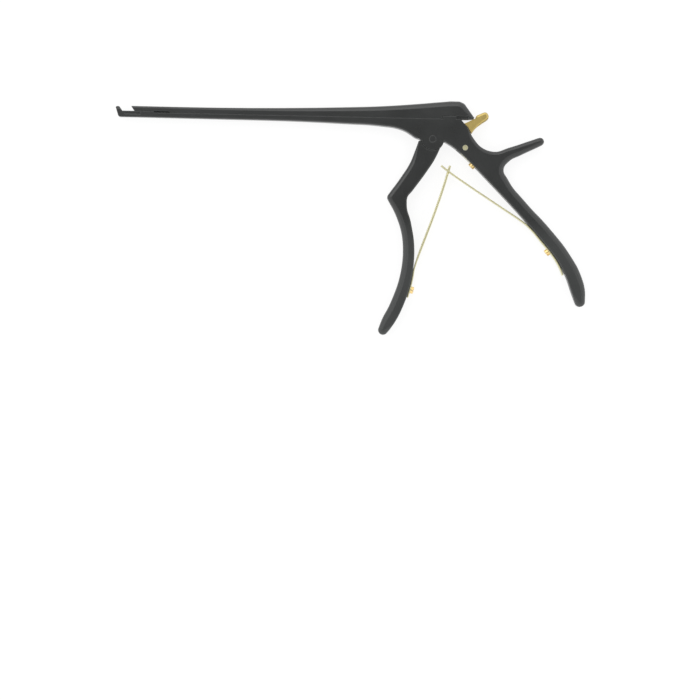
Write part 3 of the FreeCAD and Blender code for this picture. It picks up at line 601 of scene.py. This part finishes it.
def floor_material(shade):
    """White to the camera and in reflections but for the shadow, and pale cloth to all other light."""
    material = bpy.data.materials.new("Pale floor")
    material.use_nodes = True
    tree = material.node_tree
    tree.nodes.clear()
    # The lamps bring back about nine tenths of the shade, and the glow makes up the rest of the white
    glow_strength = 1.01 - 0.9 * shade
    shadowed = add_node(tree, "ShaderNodeBsdfDiffuse", Color=grey(shade)).outputs[0]
    glow = add_node(tree, "ShaderNodeEmission", Color=grey(1.0), Strength=glow_strength).outputs[0]
    white = add_node(tree, "ShaderNodeAddShader", n0=shadowed, n1=glow).outputs[0]
    cloth = add_node(tree, "ShaderNodeBsdfDiffuse", Color=grey(0.8)).outputs[0]
    path = add_node(tree, "ShaderNodeLightPath").outputs
    seen = maths(tree, "MAXIMUM", path["Is Camera Ray"], path["Is Glossy Ray"])
    surface = add_node(tree, "ShaderNodeMixShader", n0=seen, n1=cloth, n2=white).outputs[0]
    add_node(tree, "ShaderNodeOutputMaterial", Surface=surface)
    return material


def lay_floor(centre, shade):
    """Wide pale floor just under the punch."""
    half_width = 3.0
    gap = 0.02 * MM
    mesh = bpy.data.meshes.new("floor")
    bm = bmesh.new()
    bmesh.ops.create_grid(bm, x_segments=1, y_segments=1, size=half_width)
    bm.to_mesh(mesh)
    bm.free()
    mesh.materials.append(floor_material(shade))
    floor = bpy.data.objects.new("floor", mesh)
    floor.location = (centre.x, centre.y, -gap)
    bpy.context.scene.collection.objects.link(floor)


def light_tent(strength):
    """Light from all round as in a tent: bright walls, a brighter ring above and a dim hole for the camera."""
    world = bpy.data.worlds.new("Light tent")
    bpy.context.scene.world = world
    world.use_nodes = True
    tree = world.node_tree
    tree.nodes.clear()
    around = add_node(tree, "ShaderNodeTexCoord").outputs["Generated"]
    height = add_node(tree, "ShaderNodeSeparateXYZ", Vector=around).outputs["Z"]
    ramp = add_node(tree, "ShaderNodeValToRGB", Fac=height)
    elements = ramp.color_ramp.elements
    for place, level in TENT_LEVELS[1:-1]:
        elements.new(place)
    for element, (place, level) in zip(elements, TENT_LEVELS):
        element.position = place
        element.color = grey(level)
    brightest = 2.0
    lit = maths(tree, "MULTIPLY", ramp.outputs["Color"], brightest * strength)
    path = add_node(tree, "ShaderNodeLightPath").outputs
    seen = add_node(tree, "ShaderNodeMix", {"data_type": "FLOAT"}, n0=path["Is Camera Ray"],
                    n2=lit, n3=1.0).outputs[0]
    sky = add_node(tree, "ShaderNodeBackground", Color=grey(1.0), Strength=seen).outputs[0]
    add_node(tree, "ShaderNodeOutputWorld", Surface=sky)


def hang_lamp(centre, power):
    """Large soft lamp above and behind the slide."""
    lamp = bpy.data.lights.new("overhead", "AREA")
    lamp.shape = "RECTANGLE"
    lamp.size = 1.2
    lamp.size_y = 0.9
    lamp.energy = power
    holder = bpy.data.objects.new("overhead", lamp)
    holder.location = centre + Vector((-0.35, 0.75, 1.1))
    holder.rotation_euler = (centre - holder.location).to_track_quat("-Z", "Y").to_euler()
    bpy.context.scene.collection.objects.link(holder)


def place_camera(centre, height, width):
    """Camera that looks straight down on the centre."""
    lens = bpy.data.cameras.new("camera")
    lens.sensor_width = 36.0
    lens.lens = lens.sensor_width * height / width
    lens.clip_start = 0.05
    lens.clip_end = 20.0
    camera = bpy.data.objects.new("camera", lens)
    camera.location = centre + Vector((0, 0, height))
    camera.rotation_euler = (0, 0, math.radians(VIEW_ROLL))
    bpy.context.scene.collection.objects.link(camera)
    bpy.context.scene.camera = camera


class PUNCH_OT_studio(bpy.types.Operator):
    """Make the pale floor, the soft light and the camera that looks straight down"""
    bl_idname = "punch.studio"
    bl_label = "Make the studio"

    def execute(self, context):
        studio = context.scene.punch_studio
        centre = Vector((VIEW_CENTRE[0] * MM, VIEW_CENTRE[1] * MM, MIDDLE))
        lay_floor(centre, studio.floor_shade)
        light_tent(studio.sky)
        hang_lamp(centre, studio.key)
        place_camera(centre, studio.camera_height, studio.view_width)
        context.scene.view_settings.view_transform = "Standard"
        return {"FINISHED"}


class PUNCH_PT_panel(bpy.types.Panel):
    """Settings and buttons of the punch"""
    bl_idname = "PUNCH_PT_panel"
    bl_label = "Laminectomy punch"
    bl_space_type = "VIEW_3D"
    bl_region_type = "UI"
    bl_category = "Punch"

    def draw(self, context):
        scene = context.scene
        for group in (scene.punch_sizes, scene.punch_finishes, scene.punch_studio):
            box = self.layout.box()
            for key in group.__annotations__:
                box.prop(group, key)
        for operator in OPERATORS:
            self.layout.operator(operator.bl_idname)


GROUPS = (PunchSizes, PunchFinishes, PunchStudio)
OPERATORS = (
    PUNCH_OT_studio,
    PUNCH_OT_black_parts,
    PUNCH_OT_leaf_springs,
    PUNCH_OT_latch_spring,
    PUNCH_OT_gold_parts,
)
CLASSES = GROUPS + OPERATORS + (PUNCH_PT_panel,)


def register():
    for cls in CLASSES:
        bpy.utils.register_class(cls)
    bpy.types.Scene.punch_sizes = PointerProperty(type=PunchSizes)
    bpy.types.Scene.punch_finishes = PointerProperty(type=PunchFinishes)
    bpy.types.Scene.punch_studio = PointerProperty(type=PunchStudio)


def unregister():
    del bpy.types.Scene.punch_sizes
    del bpy.types.Scene.punch_finishes
    del bpy.types.Scene.punch_studio
    for cls in reversed(CLASSES):
        bpy.utils.unregister_class(cls)


def main():
    register()
    bpy.ops.punch.studio()
    bpy.ops.punch.black_parts()
    bpy.ops.punch.leaf_springs()
    bpy.ops.punch.latch_spring()
    bpy.ops.punch.gold_parts()


if __name__ == "__main__":
    main()
